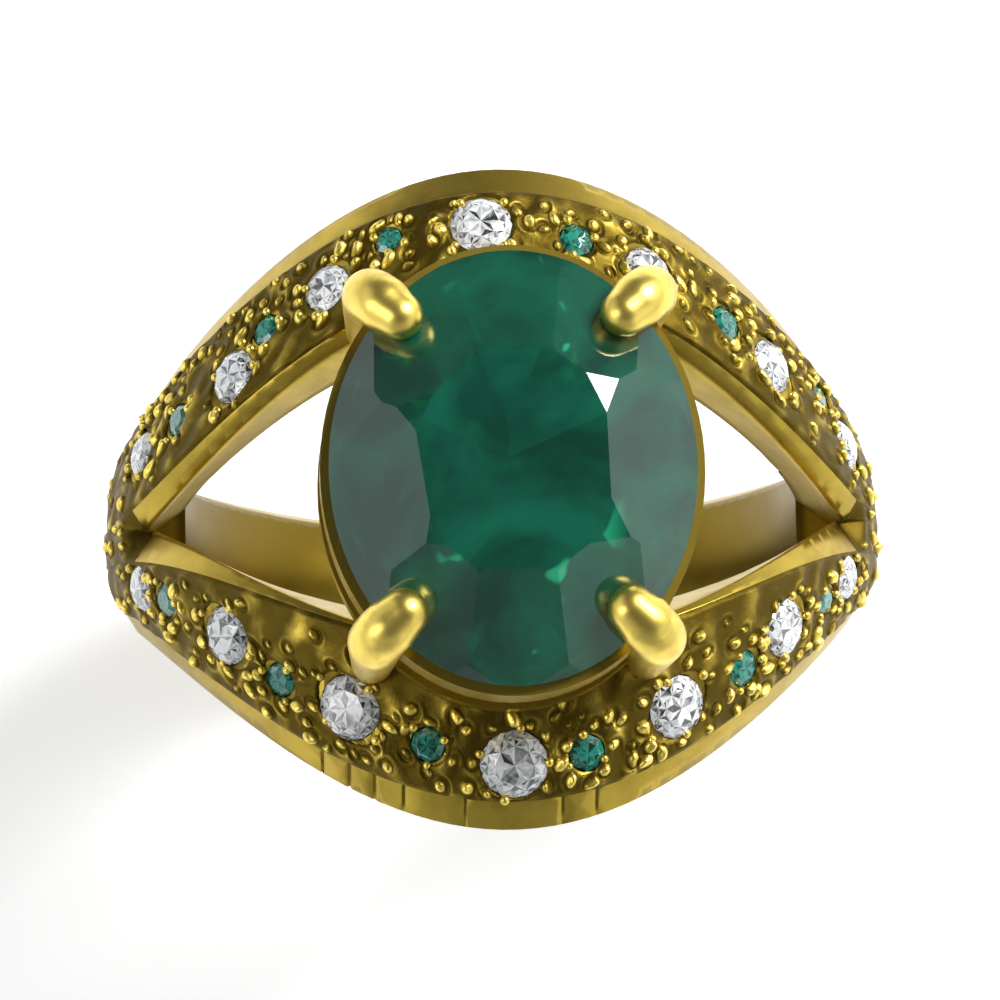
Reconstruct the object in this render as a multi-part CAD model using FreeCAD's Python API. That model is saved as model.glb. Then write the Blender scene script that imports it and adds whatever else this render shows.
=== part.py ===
import FreeCAD, Part
import math
import os

# Split-shank cocktail ring: an oval centre stone in a two-rail basket between two bead-set arms.
#
# Row frame, millimetres: origin at the centre of the finger hole, +X across the finger, +Y along the
# finger, +Z up through the centre stone. Angles along the ring are measured from +Z towards +X.

Vector = FreeCAD.Vector

# ---------------------------------------------------------------- driving dimensions
FINGER_RADIUS = 8.65  # inside of the ring
BORE_EASE = 0.2  # chamfer where the finger hole meets the side walls

SHANK_BACK_REACH = 2.5  # the band's edges below the shoulders, from the ring's middle plane
SHANK_FRONT_REACH = 2.1
SHANK_WIDTH_BOTTOM = 3.6
SHANK_WALL_BOTTOM = 1.65
SHANK_BACK_ROUND = 0.35  # how much lower than its middle the bottom's outer face is at its borders
SHOULDER_WALL = 2.0  # thickness of metal at the shoulders
SHOULDER_ANGLE = 80.0  # where the arms are joined to the shank
SHANK_SETTLE_ANGLE = 100.0  # where the flare of the shoulders dies out

ARM_WALL_APEX = 1.75  # thickness of an arm beside the centre stone
ARM_REACH = 3.2  # how far the arms' outer edges stand out beyond the centre stone
BACK_TUCK = 0.4  # how far an arm's inner edge runs in under the centre stone
FRONT_TUCK = 1.5
ARM_LEAN = 12.0  # outward lean of the set surface beside the centre stone, degrees
SHOULDER_LEAN = 7.0  # and where the arms meet
INNER_SHARPNESS = 2.4  # how quickly the arms' edges close up away from the centre stone
BACK_SHARPNESS = 2.2
FRONT_SHARPNESS = 2.4
ARM_CROWN = 0.12  # rise of the set surface between its two edges
INNER_SPREAD_ANGLE = 85.0  # reach of the inner edge's curve
BACK_EDGE_END = -0.45  # where that curve would end, past the ring's middle plane
FRONT_EDGE_END = -0.32
OUTER_RIM = 0.7  # plain border outside the stones
OUTER_RIM_DROP = 0.45
OUTER_UNDERCUT = 0.45  # how far the outer wall leans in towards the finger
INNER_FLARE = 0.8  # how far the inner wall spreads towards the finger
INNER_FLARE_ANGLE = 75.0
BACK_BEVEL_HEAD = 0.35  # polished bevel of the inner edge beside the head
FRONT_BEVEL_HEAD = 0.1
BACK_BEVEL_SHOULDER = 0.55  # and where the arms meet at the shoulders
FRONT_BEVEL_SHOULDER = 1.0
BEVEL_DROP_SHARE = 0.7  # drop of that bevel as a share of its width

STONE_WIDTH = 9.4  # centre stone
STONE_LENGTH = 11.2
STONE_GIRDLE = 0.26
STONE_CROWN = 1.35
STONE_PAVILION = 4.45
STONE_TABLE_SHARE = 0.56
HEAD_RISE = 4.2  # girdle above the arms' set surface

RAIL_WALL = 0.85
SEAT_RAIL_HEIGHT = 1.55
SEAT_RAIL_PROUD = 0.22  # rail outside the stone's girdle
SEAT_RAIL_BELOW_GIRDLE = 0.12
BASE_RAIL_HEIGHT = 0.85
BASE_RAIL_PROUD = 0.25
BASE_RAIL_LIFT = 0.2  # underside of the base rail above the middle of the arms' set surface

PRONG_ANGLE = 47.0  # place on the oval, as the angle of its parametric circle
PRONG_RADIUS = 0.72
PRONG_FOOT_RADIUS = 0.5
PRONG_TIP_RADIUS = 0.62
PRONG_STAND_OFF = 0.5  # wire centre outside the girdle
PRONG_STRAIGHT = 0.08  # wire above the girdle's middle before it bends
PRONG_BEND_INSIDE = 0.04  # inner radius of the bend over the girdle
PRONG_BEND_ANGLE = 70.0
PRONG_CLAW_LENGTH = 0.48
PRONG_TIP_FLAT_FROM = 78.0  # the ball of the tip is filed flat past this angle
PRONG_SOCKET_DEPTH = 1.15  # wire let into the arm

DIAMOND_PAVILION_ANGLE = 41.0
DIAMOND_CROWN_ANGLE = 34.0
DIAMOND_TABLE_SHARE = 0.58
MELEE_GIRDLE_SHARE = 0.05
MELEE_PAVILION_ANGLE = 42.0
MELEE_CROWN_ANGLE = 32.0
MELEE_TABLE_SHARE = 0.6
SEAT_CLEARANCE = 0.012
GIRDLE_SUNK = 0.05  # girdle below the set surface
AZURE_SHARE = 0.52  # daylight hole below a small stone, as a share of its diameter

# Stones of each arm from left to right: angle round the ring, distance outward of the set surface's
# middle line, diameter.
BACK_DIAMONDS = [
    (-63.9, 0.0, 1.35), (-41.5, -0.5, 1.5), (-25.8, 0.06, 1.35), (-2.8, 0.32, 1.65),
    (21.9, 0.07, 1.35), (43.6, -0.14, 1.5), (63.9, 0.0, 1.4),
]
FRONT_DIAMONDS = [
    (-64.3, -0.23, 1.25), (-43.8, -0.09, 1.6), (-23.5, 0.35, 1.75), (0.4, 1.0, 1.8),
    (25.1, 0.57, 1.7), (45.0, 0.02, 1.6), (61.8, -0.33, 1.25),
]
BACK_EMERALDS = [
    (-53.5, -0.19, 0.95), (-36.0, 0.1, 0.9), (-16.6, 0.56, 0.8),
    (11.1, 0.14, 0.95), (34.9, 0.0, 0.95), (56.6, 0.55, 0.8),
]
FRONT_EMERALDS = [
    (-57.0, -0.23, 0.95), (-34.7, 0.41, 0.95), (-12.1, 0.72, 0.95),
    (11.2, 0.96, 1.0), (37.0, 0.48, 1.0), (55.3, -0.06, 0.8),
]

# ---------------------------------------------------------------- sizes that follow
SHOULDER_RADIUS = FINGER_RADIUS + SHOULDER_WALL
APEX_RADIUS = FINGER_RADIUS + ARM_WALL_APEX
HALF_WIDTH = STONE_WIDTH / 2
HALF_LENGTH = STONE_LENGTH / 2
PRONG_BEND_RADIUS = PRONG_RADIUS + PRONG_BEND_INSIDE
GIRDLE_Z = APEX_RADIUS + HEAD_RISE
OUTER_EDGE_APEX = HALF_LENGTH + ARM_REACH
BACK = {
    "side": 1,
    "inner_apex": HALF_LENGTH - BACK_TUCK,
    "inner_end": BACK_EDGE_END,
    "outer_end": SHANK_BACK_REACH,
    "outer_sharpness": BACK_SHARPNESS,
    "bevel_head": BACK_BEVEL_HEAD,
    "bevel_shoulder": BACK_BEVEL_SHOULDER,
}
FRONT = {
    "side": -1,
    "inner_apex": HALF_LENGTH - FRONT_TUCK,
    "inner_end": FRONT_EDGE_END,
    "outer_end": SHANK_FRONT_REACH,
    "outer_sharpness": FRONT_SHARPNESS,
    "bevel_head": FRONT_BEVEL_HEAD,
    "bevel_shoulder": FRONT_BEVEL_SHOULDER,
}
SHANK_HALF_BOTTOM = SHANK_WIDTH_BOTTOM / 2
BORE_DEPTH = 0.3  # solids run this far past the finger hole's wall before it is cut
CUT_LENGTH = 40.0  # longer than the whole ring
LEAST_OVERLAP = 1e-6  # a smaller shared volume is only a touch
ARM_STATIONS = 21
SHANK_STATIONS = 17


def bell(angle, apex, end, reach, sharpness=2.0):
    """A bell curve that runs from apex at angle 0 to end at angle reach, and stays there."""
    if abs(angle) >= reach:
        return end
    return end + (apex - end) * math.cos(math.radians(90 * angle / reach)) ** sharpness


def ring_point(angle, along, radius):
    """The point at that angle round the ring, distance along the finger and radius."""
    turn = math.radians(angle)
    return Vector(radius * math.sin(turn), along, radius * math.cos(turn))


# ---------------------------------------------------------------- the arms' surfaces
def inner_edge(arm, angle):
    return bell(angle, arm["inner_apex"], arm["inner_end"], INNER_SPREAD_ANGLE, INNER_SHARPNESS)


def outer_edge(arm, angle):
    return bell(angle, OUTER_EDGE_APEX, arm["outer_end"], SHANK_SETTLE_ANGLE, arm["outer_sharpness"])


def set_radius(angle):
    """Radius of the set surface half way between an arm's edges."""
    return SHOULDER_RADIUS + (APEX_RADIUS - SHOULDER_RADIUS) * math.cos(math.radians(angle)) ** 2


def lean_drop(arm, angle):
    """How much lower the outer edge lies than the inner one."""
    width = outer_edge(arm, angle) - inner_edge(arm, angle)
    return width * math.tan(math.radians(bell(angle, ARM_LEAN, SHOULDER_LEAN, SHOULDER_ANGLE)))


def inner_foot(arm, angle):
    """Distance from the middle plane to an arm's inner wall at the finger hole.

    The window between the arms is pierced straight down, so the wall stands below the part of the
    edge that lies over it, apart from its flare.
    """
    over = math.degrees(math.asin(FINGER_RADIUS * math.sin(math.radians(angle)) / SHOULDER_RADIUS))
    return inner_edge(arm, over) - bell(over, INNER_FLARE, 0.0, INNER_FLARE_ANGLE)


def bevel_width(arm, angle):
    towards_shoulder = (1 - bell(angle, 1.0, 0.0, SHOULDER_ANGLE)) ** 2
    return arm["bevel_head"] + (arm["bevel_shoulder"] - arm["bevel_head"]) * towards_shoulder


def ridge_and_rim(arm, angle):
    """The two borders of the set surface in the arm's radial plane, as (along, radius)."""
    half_drop = lean_drop(arm, angle) / 2
    ridge = (inner_edge(arm, angle) + bevel_width(arm, angle), set_radius(angle) + half_drop)
    rim = (outer_edge(arm, angle) - OUTER_RIM, set_radius(angle) - half_drop)
    return ridge, rim


def set_point(arm, angle, share):
    """The set surface at a share of its width, 0 at the ridge and 1 at the rim, as (along, radius)."""
    ridge, rim = ridge_and_rim(arm, angle)
    rise = 4 * ARM_CROWN * share * (1 - share)
    return ridge[0] + (rim[0] - ridge[0]) * share, ridge[1] + (rim[1] - ridge[1]) * share + rise


def arm_corners(arm, angle):
    """Section corners of an arm in its radial plane, as (along, radius)."""
    ridge, rim = ridge_and_rim(arm, angle)
    foot_in, foot_out = inner_foot(arm, angle), outer_edge(arm, angle) - OUTER_UNDERCUT
    below = FINGER_RADIUS - BORE_DEPTH
    return {
        "ridge_low": (inner_edge(arm, angle), ridge[1] - bevel_width(arm, angle) * BEVEL_DROP_SHARE),
        "ridge": ridge,
        "crown": set_point(arm, angle, 0.5),
        "rim": rim,
        "rim_low": (outer_edge(arm, angle), rim[1] - OUTER_RIM_DROP),
        "foot_out": (foot_out, FINGER_RADIUS + BORE_EASE),
        "below_out": (foot_out - BORE_EASE - BORE_DEPTH, below),
        "below_in": (foot_in + BORE_EASE + BORE_DEPTH, below),
        "foot_in": (foot_in, FINGER_RADIUS + BORE_EASE),
    }


def section_wire(angle, corners, arcs):
    """A closed wire through the corners. arcs maps a corner's name to the arc's middle point after it."""
    names = list(corners)
    at = {name: ring_point(angle, *corners[name]) for name in names}
    edges = []
    outline = [name for name in names if name not in arcs.values()]
    for name, following in zip(outline, outline[1:] + outline[:1]):
        if name in arcs:
            edges.append(Part.Arc(at[name], at[arcs[name]], at[following]).toShape())
        else:
            edges.append(Part.makeLine(at[name], at[following]))
    return Part.Wire(edges)


def finger_hole():
    start = Vector(0, -CUT_LENGTH / 2, 0)
    return Part.makeCylinder(FINGER_RADIUS, CUT_LENGTH, start, Vector(0, 1, 0))


def half_space(side):
    """Everything on one side of the ring's middle plane, as a block."""
    low = 0.0 if side > 0 else -CUT_LENGTH
    return Part.makeBox(2 * CUT_LENGTH, CUT_LENGTH, 2 * CUT_LENGTH, Vector(-CUT_LENGTH, low, -CUT_LENGTH))


def arm_blank(arm):
    """An arm before it is set."""
    wires = []
    for n in range(ARM_STATIONS):
        angle = SHOULDER_ANGLE * (2 * n / (ARM_STATIONS - 1) - 1)
        wires.append(section_wire(angle, arm_corners(arm, angle), {"ridge": "crown"}))
    blank = Part.makeLoft(wires, True, False)
    blank = blank.cut(finger_hole()).common(half_space(1))
    return blank if arm["side"] > 0 else blank.mirror(Vector(0, 0, 0), Vector(0, 1, 0))


def middle_radius(arm, angle):
    """Radius at which an arm's set surface crosses the ring's middle plane."""
    ridge, rim = ridge_and_rim(arm, angle)
    return set_point(arm, angle, -ridge[0] / (rim[0] - ridge[0]))[1]


# ---------------------------------------------------------------- the shank
SHOULDER_RIM = min(ridge_and_rim(arm, SHOULDER_ANGLE)[1][1] for arm in (BACK, FRONT))
SHOULDER_MIDDLE = min(middle_radius(arm, SHOULDER_ANGLE) for arm in (BACK, FRONT))


def shank_edge(arm, angle):
    """How far the band reaches from the middle plane on an arm's side."""
    if angle <= SHANK_SETTLE_ANGLE:
        return outer_edge(arm, angle)
    share = (angle - SHANK_SETTLE_ANGLE) / (180.0 - SHANK_SETTLE_ANGLE)
    return arm["outer_end"] + (SHANK_HALF_BOTTOM - arm["outer_end"]) * math.sin(math.radians(90 * share)) ** 2


def shank_corners(angle):
    """Section corners of the shank at an angle from 80 to 180 degrees, mirrored past 180."""
    turned = min(angle, 360.0 - angle)
    share = (turned - SHOULDER_ANGLE) / (180.0 - SHOULDER_ANGLE)
    ease = math.sin(math.radians(90 * share)) ** 2
    outside = FINGER_RADIUS + SHANK_WALL_BOTTOM
    rim_top = SHOULDER_RIM + (outside - SHANK_BACK_ROUND - SHOULDER_RIM) * ease
    middle_top = SHOULDER_MIDDLE + (outside - SHOULDER_MIDDLE) * ease
    back, front = shank_edge(BACK, turned), -shank_edge(FRONT, turned)
    lean_in = OUTER_UNDERCUT * (1 - ease) + BORE_EASE * ease
    ease_end = lean_in + BORE_EASE + BORE_DEPTH
    return {
        "rim_back": (back - OUTER_RIM, rim_top),
        "rim_back_low": (back, rim_top - OUTER_RIM_DROP),
        "foot_back": (back - lean_in, FINGER_RADIUS + BORE_EASE),
        "below_back": (back - ease_end, FINGER_RADIUS - BORE_DEPTH),
        "below_front": (front + ease_end, FINGER_RADIUS - BORE_DEPTH),
        "foot_front": (front + lean_in, FINGER_RADIUS + BORE_EASE),
        "rim_front_low": (front, rim_top - OUTER_RIM_DROP),
        "rim_front": (front + OUTER_RIM, rim_top),
        "crown": ((back + front) / 2, middle_top),
    }


def shank():
    wires = []
    for n in range(SHANK_STATIONS):
        angle = SHOULDER_ANGLE + (360.0 - 2 * SHOULDER_ANGLE) * n / (SHANK_STATIONS - 1)
        wires.append(section_wire(angle, shank_corners(angle), {"rim_front": "crown"}))
    return Part.makeLoft(wires, True, False).cut(finger_hole())


# ---------------------------------------------------------------- cut stones
def solid_of(faces):
    """A closed solid from flat faces given as lists of points."""
    made = [Part.Face(Part.makePolygon(points + points[:1])) for points in faces]
    shell = Part.makeShell(made)
    return Part.makeSolid(shell)


def on_oval(half_x, half_y, degrees, share, z):
    turn = math.radians(degrees)
    return Vector(half_x * share * math.cos(turn), half_y * share * math.sin(turn), z)


def brilliant(half_x, half_y, table_share, crown, girdle, pavilion):
    """A brilliant cut, round or oval, with its girdle's middle at z 0."""
    step = 22.5
    star_share = table_share + 0.45 * (1 - table_share)
    star_z = girdle / 2 + crown * (1 - star_share) / (1 - table_share)
    lower_share = 0.22
    lower_z = -girdle / 2 - pavilion * (1 - lower_share)
    widen = 1 / math.cos(math.radians(step))
    table = [on_oval(half_x, half_y, 2 * step * k, table_share, girdle / 2 + crown) for k in range(8)]
    star = [on_oval(half_x, half_y, 2 * step * k + step, star_share * widen, star_z) for k in range(8)]
    lower = [on_oval(half_x, half_y, 2 * step * k + step, lower_share * widen, lower_z) for k in range(8)]
    top = [on_oval(half_x, half_y, step * k, 1.0, girdle / 2) for k in range(16)]
    bottom = [on_oval(half_x, half_y, step * k, 1.0, -girdle / 2) for k in range(16)]
    culet = Vector(0, 0, -girdle / 2 - pavilion)
    faces = [table]
    for k in range(8):
        after, before = (k + 1) % 8, (k - 1) % 8
        point, beside, further = 2 * k, 2 * k + 1, (2 * k + 2) % 16
        faces.append([table[k], table[after], star[k]])
        faces.append([table[k], star[k], top[point], star[before]])
        faces.append([star[k], top[point], top[beside]])
        faces.append([star[k], top[beside], top[further]])
        faces.append([top[point], top[beside], bottom[beside], bottom[point]])
        faces.append([top[beside], top[further], bottom[further], bottom[beside]])
        faces.append([culet, lower[k], bottom[point], lower[before]])
        faces.append([lower[k], bottom[point], bottom[beside]])
        faces.append([lower[k], bottom[beside], bottom[further]])
    return solid_of(faces)


def single_cut(radius, table_share, crown, girdle, pavilion):
    """The simpler cut of a very small stone: eight facets above the girdle and eight below."""
    corners = range(8)
    table = [on_oval(radius, radius, 45 * k, table_share, girdle / 2 + crown) for k in corners]
    top = [on_oval(radius, radius, 45 * k, 1.0, girdle / 2) for k in corners]
    bottom = [on_oval(radius, radius, 45 * k, 1.0, -girdle / 2) for k in corners]
    culet = Vector(0, 0, -girdle / 2 - pavilion)
    faces = [table]
    for k in corners:
        after = (k + 1) % 8
        faces.append([table[k], table[after], top[after], top[k]])
        faces.append([top[k], top[after], bottom[after], bottom[k]])
        faces.append([culet, bottom[k], bottom[after]])
    return solid_of(faces)


def diamond(diameter):
    radius = diameter / 2
    crown = radius * (1 - DIAMOND_TABLE_SHARE) * math.tan(math.radians(DIAMOND_CROWN_ANGLE))
    pavilion = radius * math.tan(math.radians(DIAMOND_PAVILION_ANGLE))
    return brilliant(radius, radius, DIAMOND_TABLE_SHARE, crown, MELEE_GIRDLE_SHARE * diameter, pavilion)


def small_emerald(diameter):
    radius = diameter / 2
    crown = radius * (1 - MELEE_TABLE_SHARE) * math.tan(math.radians(MELEE_CROWN_ANGLE))
    pavilion = radius * math.tan(math.radians(MELEE_PAVILION_ANGLE))
    return single_cut(radius, MELEE_TABLE_SHARE, crown, MELEE_GIRDLE_SHARE * diameter, pavilion)


def centre_emerald():
    stone = brilliant(HALF_WIDTH, HALF_LENGTH, STONE_TABLE_SHARE, STONE_CROWN, STONE_GIRDLE, STONE_PAVILION)
    stone.translate(Vector(0, 0, GIRDLE_Z))
    return stone


# ---------------------------------------------------------------- seats in the arms
def seat_placement(arm, angle, aside):
    """Where a small stone's girdle lies: square to the set surface, aside of its middle line."""
    ridge, rim = ridge_and_rim(arm, angle)
    share = 0.5 + aside / (rim[0] - ridge[0])
    step, nudge = 0.5, 0.02
    here = ring_point(angle, *set_point(arm, angle, share))
    along = ring_point(angle + step, *set_point(arm, angle + step, share)) - here
    across = ring_point(angle, *set_point(arm, angle, share + nudge)) - here
    normal = across.cross(along)
    normal.normalize()
    if normal.dot(here) < 0:
        normal = normal.negative()
    centre = here - normal * GIRDLE_SUNK
    if arm["side"] < 0:
        centre, normal = Vector(centre.x, -centre.y, centre.z), Vector(normal.x, -normal.y, normal.z)
    return FreeCAD.Placement(centre, FreeCAD.Rotation(Vector(0, 0, 1), normal))


def seat_cutter(diameter, pavilion_angle):
    """The drilled seat of a small stone: a bearing for its girdle, a cone for its back and a daylight hole."""
    radius = diameter / 2 + SEAT_CLEARANCE
    hole = AZURE_SHARE * diameter / 2
    shelf = -MELEE_GIRDLE_SHARE * diameter / 2
    floor = shelf - (radius - hole) * math.tan(math.radians(pavilion_angle))
    deep = -2.5 * SHOULDER_WALL
    profile = [
        Vector(0, 0, diameter),
        Vector(radius, 0, diameter),
        Vector(radius, 0, shelf),
        Vector(hole, 0, floor),
        Vector(hole, 0, deep),
        Vector(0, 0, deep),
    ]
    face = Part.Face(Part.makePolygon(profile + profile[:1]))
    return face.revolve(Vector(0, 0, 0), Vector(0, 0, 1), 360)


# ---------------------------------------------------------------- the head
def oval_face(half_x, half_y, z):
    oval = Part.Ellipse(Vector(0, 0, 0), half_y, half_x).toShape()
    oval.rotate(Vector(0, 0, 0), Vector(0, 0, 1), 90)
    oval.translate(Vector(0, 0, z))
    return Part.Face(Part.Wire([oval]))


def oval_rail(proud, low_z, height):
    """A rail round the centre stone's outline: proud is how far it stands outside the girdle."""
    outside = oval_face(HALF_WIDTH + proud, HALF_LENGTH + proud, low_z)
    inside = oval_face(HALF_WIDTH + proud - RAIL_WALL, HALF_LENGTH + proud - RAIL_WALL, low_z)
    return outside.cut(inside).extrude(Vector(0, 0, height))


def turned_bar(rings, base, axis):
    """A round bar about an axis from base: rings lists (distance, radius), ends are flat or pointed."""
    profile = [Vector(0, 0, rings[0][0])]
    profile += [Vector(radius, 0, distance) for distance, radius in rings]
    if rings[-1][1] > 0:
        profile.append(Vector(0, 0, rings[-1][0]))
    bar = Part.Face(Part.makePolygon(profile + profile[:1])).revolve(Vector(0, 0, 0), Vector(0, 0, 1), 360)
    bar.Placement = FreeCAD.Placement(base, FreeCAD.Rotation(Vector(0, 0, 1), axis))
    return bar


def make_prong(x_side, y_side):
    """A claw prong: a tapered wire let into the arm at its foot, bent in over the girdle at its top."""
    t = math.radians(PRONG_ANGLE)
    edge = Vector(HALF_WIDTH * math.cos(t), HALF_LENGTH * math.sin(t), GIRDLE_Z)
    outward = Vector(math.cos(t) / HALF_WIDTH, math.sin(t) / HALF_LENGTH, 0)
    outward.normalize()
    up, sideways = Vector(0, 0, 1), Vector(outward.y, -outward.x, 0)
    bend_start = edge + outward * PRONG_STAND_OFF + up * PRONG_STRAIGHT
    foot_angle = math.degrees(math.asin(bend_start.x / APEX_RADIUS))
    foot_z = APEX_RADIUS * math.cos(math.radians(foot_angle)) - PRONG_SOCKET_DEPTH
    foot = Vector(bend_start.x, bend_start.y, foot_z)
    length = bend_start.z - foot_z
    wire = turned_bar([(0, PRONG_FOOT_RADIUS), (length, PRONG_RADIUS)], foot, up)
    disc = Part.Face(Part.Wire([Part.makeCircle(PRONG_RADIUS, bend_start, up)]))
    pivot = bend_start - outward * PRONG_BEND_RADIUS
    bend = disc.revolve(pivot, sideways, PRONG_BEND_ANGLE)
    a = math.radians(PRONG_BEND_ANGLE)
    heading = up * math.cos(a) - outward * math.sin(a)
    bend_end = pivot + outward * (PRONG_BEND_RADIUS * math.cos(a)) + up * (PRONG_BEND_RADIUS * math.sin(a))
    claw = turned_bar([(0, PRONG_RADIUS), (PRONG_CLAW_LENGTH, PRONG_TIP_RADIUS)], bend_end, heading)
    tip = Part.makeSphere(PRONG_TIP_RADIUS, Vector(0, 0, 0), up, 0, PRONG_TIP_FLAT_FROM, 360)
    tip.Placement = FreeCAD.Placement(bend_end + heading * PRONG_CLAW_LENGTH, FreeCAD.Rotation(up, heading))
    prong = wire.fuse([bend, claw, tip])
    if x_side < 0:
        prong = prong.mirror(Vector(0, 0, 0), Vector(1, 0, 0))
    if y_side < 0:
        prong = prong.mirror(Vector(0, 0, 0), Vector(0, 1, 0))
    return prong


# ---------------------------------------------------------------- assembly
def clear_of(shape, seats):
    """The shape relieved where a small stone's seat reaches into it."""
    for seat in seats:
        if seat.BoundBox.intersect(shape.BoundBox) and shape.common(seat).Volume > LEAST_OVERLAP:
            shape = shape.cut(seat)
    return shape


def build():
    parts = {}
    parts["centre_emerald"] = centre_emerald()
    seat_low = GIRDLE_Z - STONE_GIRDLE / 2 - SEAT_RAIL_BELOW_GIRDLE - SEAT_RAIL_HEIGHT
    base_low = APEX_RADIUS + BASE_RAIL_LIFT
    seat_rail = oval_rail(SEAT_RAIL_PROUD, seat_low, SEAT_RAIL_HEIGHT).cut(parts["centre_emerald"])
    base_rail = oval_rail(BASE_RAIL_PROUD, base_low, BASE_RAIL_HEIGHT)
    parts["seat_rail"] = seat_rail
    parts["base_rail"] = base_rail
    prongs = {}
    for x_name, x_sign in (("left", -1), ("right", 1)):
        for y_name, y_sign in (("front", -1), ("back", 1)):
            wire = make_prong(x_sign, y_sign)
            wire = wire.cut(parts["centre_emerald"]).cut(seat_rail).cut(base_rail)
            prongs["prong_%s_%s" % (y_name, x_name)] = wire
    parts.update(prongs)
    parts["shank"] = shank()
    seats = []
    sides = (
        ("back", BACK, BACK_DIAMONDS, BACK_EMERALDS),
        ("front", FRONT, FRONT_DIAMONDS, FRONT_EMERALDS),
    )
    for name, arm_sizes, diamonds, emeralds in sides:
        arm = arm_blank(arm_sizes)
        cutters = [base_rail] + list(prongs.values())
        kinds = (
            ("diamond", diamonds, diamond, DIAMOND_PAVILION_ANGLE),
            ("emerald", emeralds, small_emerald, MELEE_PAVILION_ANGLE),
        )
        for kind, stones, cut, pavilion_angle in kinds:
            for number, (angle, aside, diameter) in enumerate(stones, 1):
                place = seat_placement(arm_sizes, angle, aside)
                stone = cut(diameter)
                stone.Placement = place
                parts["%s_%s_%d" % (name, kind, number)] = stone
                seat = seat_cutter(diameter, pavilion_angle)
                seat.Placement = place
                cutters.append(seat)
                seats.append(seat)
        for cutter in cutters:
            arm = arm.cut(cutter)
        parts["%s_arm" % name] = arm
    for name in ["base_rail"] + list(prongs):
        parts[name] = clear_of(parts[name], seats)
    return parts


def single_solid(name, shape):
    solids = shape.Solids
    if len(solids) != 1 or not solids[0].isValid():
        raise ValueError("%s is %d solids, or not valid" % (name, len(solids)))
    return solids[0]


def main():
    os.makedirs("parts", exist_ok=True)
    for name, shape in build().items():
        single_solid(name, shape).exportStep("parts/%s.step" % name)


main()
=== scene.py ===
import math

import bmesh
import bpy
import numpy as np
from mathutils import Matrix, Vector


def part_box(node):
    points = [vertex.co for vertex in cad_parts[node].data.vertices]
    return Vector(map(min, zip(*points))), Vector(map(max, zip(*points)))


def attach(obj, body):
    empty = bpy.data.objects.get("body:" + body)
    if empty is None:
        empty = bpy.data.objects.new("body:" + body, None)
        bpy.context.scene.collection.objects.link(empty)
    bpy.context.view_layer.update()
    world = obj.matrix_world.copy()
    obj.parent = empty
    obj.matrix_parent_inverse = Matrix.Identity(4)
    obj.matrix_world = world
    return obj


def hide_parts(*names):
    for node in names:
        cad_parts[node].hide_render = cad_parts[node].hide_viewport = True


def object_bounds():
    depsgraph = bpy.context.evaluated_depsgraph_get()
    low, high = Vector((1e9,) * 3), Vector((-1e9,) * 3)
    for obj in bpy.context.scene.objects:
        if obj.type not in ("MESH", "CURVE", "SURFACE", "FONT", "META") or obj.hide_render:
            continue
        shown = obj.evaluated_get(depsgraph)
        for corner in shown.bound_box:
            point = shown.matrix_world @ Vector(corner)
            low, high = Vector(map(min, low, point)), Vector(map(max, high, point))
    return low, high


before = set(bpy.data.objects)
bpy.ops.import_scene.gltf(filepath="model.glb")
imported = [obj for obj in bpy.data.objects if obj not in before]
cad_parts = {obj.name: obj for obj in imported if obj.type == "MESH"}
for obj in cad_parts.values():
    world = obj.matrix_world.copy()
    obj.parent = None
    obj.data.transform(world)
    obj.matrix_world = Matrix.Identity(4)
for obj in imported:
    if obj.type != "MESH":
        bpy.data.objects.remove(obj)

# Looks of the split-shank cocktail ring: gold metalwork, bead-set arms, cut stones and a pale studio.
# Shapes are worked out in millimetres and degrees, in the ring's own frame, and made metres at the end.

MM = 0.001
CAD_BOUNDS = [list(corner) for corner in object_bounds()]

# ---------------------------------------------------------------- the arms, in millimetres and degrees
APEX_RADIUS = 10.4
SHOULDER_RADIUS = 10.65
SHOULDER_ANGLE = 80.0
SETTLE_ANGLE = 100.0
INNER_REACH, INNER_SHARPNESS = 85.0, 2.4
OUTER_APEX, OUTER_RIM = 8.8, 0.7
LEAN, SHOULDER_LEAN = 12.0, 7.0
CROWN = 0.12
FINGER_RADIUS = 8.65
SET_RADIUS = 10.5  # used where the set surface is laid out flat
CARVED_TO = 79.0  # angle at which the carved ground ends
BEVEL_SLOPE = 0.7
WINDOW_END = 66.0  # angle of the window's pointed end

# Stones of each arm: angle round the ring, distance outward of the set surface's middle line, diameter.
BACK = {
    "side": 1,
    "inner": (5.2, -0.45),
    "outer": (2.5, 2.2),
    "bevel": (0.35, 0.55),
    "diamonds": [
        (-63.9, 0.0, 1.35), (-41.5, -0.5, 1.5), (-25.8, 0.06, 1.35), (-2.8, 0.32, 1.65),
        (21.9, 0.07, 1.35), (43.6, -0.14, 1.5), (63.9, 0.0, 1.4),
    ],
    "emeralds": [
        (-53.5, -0.19, 0.95), (-36.0, 0.1, 0.9), (-16.6, 0.56, 0.8),
        (11.1, 0.14, 0.95), (34.9, 0.0, 0.95), (56.6, 0.55, 0.8),
    ],
}
FRONT = {
    "side": -1,
    "inner": (4.1, -0.32),
    "outer": (2.1, 2.4),
    "bevel": (0.1, 1.0),
    "diamonds": [
        (-64.3, -0.23, 1.25), (-43.8, -0.09, 1.6), (-23.5, 0.35, 1.75), (0.4, 1.0, 1.8),
        (25.1, 0.57, 1.7), (45.0, 0.02, 1.6), (61.8, -0.33, 1.25),
    ],
    "emeralds": [
        (-57.0, -0.23, 0.95), (-34.7, 0.41, 0.95), (-12.1, 0.72, 0.95),
        (11.2, 0.96, 1.0), (37.0, 0.48, 1.0), (55.3, -0.06, 0.8),
    ],
}


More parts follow.
